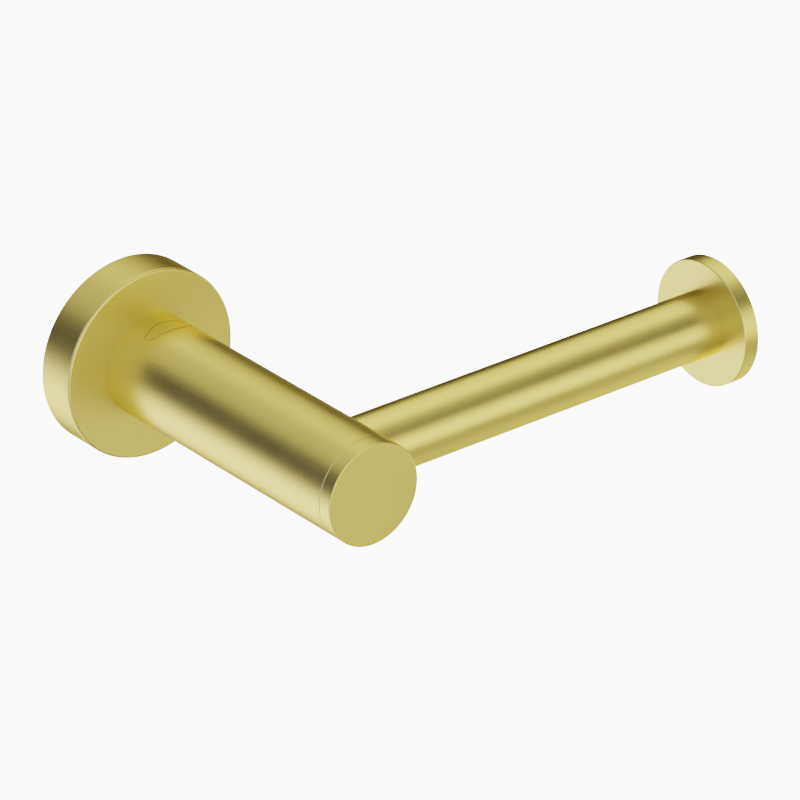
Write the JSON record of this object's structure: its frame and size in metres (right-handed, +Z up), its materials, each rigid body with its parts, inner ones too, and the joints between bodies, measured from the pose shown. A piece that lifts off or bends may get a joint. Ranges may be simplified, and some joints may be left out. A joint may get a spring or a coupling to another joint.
{
  "type": "toilet paper holder",
  "caption": "Wall-mounted toilet paper holder: round rose over a hidden bracket, horizontal post, side arm with an end disc, in brushed brass.",
  "frame": {"origin": "centre of the bracket's back face, on the wall", "axes": "the wall is the plane y = 0 and +Y goes into it, so the post stands out along -Y; +X along the arm, from the post towards the end disc; +Z up"},
  "size_m": [0.1688, 0.112, 0.0564],
  "materials": {
    "brushed_brass": "satin, fine lengthwise brushing, clear",
    "turned_brass": "as turned",
    "bracket_steel": "satin stainless steel",
    "zinc_steel": "zinc plated",
    "dark_steel": "black oxide"
  },
  "bodies": {
    "wall_bracket": {"wall_bracket": "bracket_steel"},
    "holder": {"rose": "brushed_brass", "post_screw": "zinc_steel", "spring_washer": "zinc_steel", "anti_rotation_pin": "zinc_steel", "post_tube": "brushed_brass", "post_base_plug": "turned_brass", "end_cap": "brushed_brass", "arm_socket": "turned_brass", "arm_lock_screw": "dark_steel", "arm_spigot": "turned_brass", "arm_tube": "brushed_brass", "arm_end_plug": "turned_brass", "disc_stud": "zinc_steel", "end_disc": "brushed_brass"},
    "set_screw": {"set_screw": "dark_steel"}
  },
  "joints": [
    {"name": "holder_slide_off", "type": "slide", "parent": "wall_bracket", "child": "holder", "axis": [0, -1, 0], "range_m": [0, 0.012]},
    {"name": "set_screw_travel", "type": "slide", "parent": "holder", "child": "set_screw", "axis": [0, 0, -1], "range_m": [0, 0.003]}
  ]
}
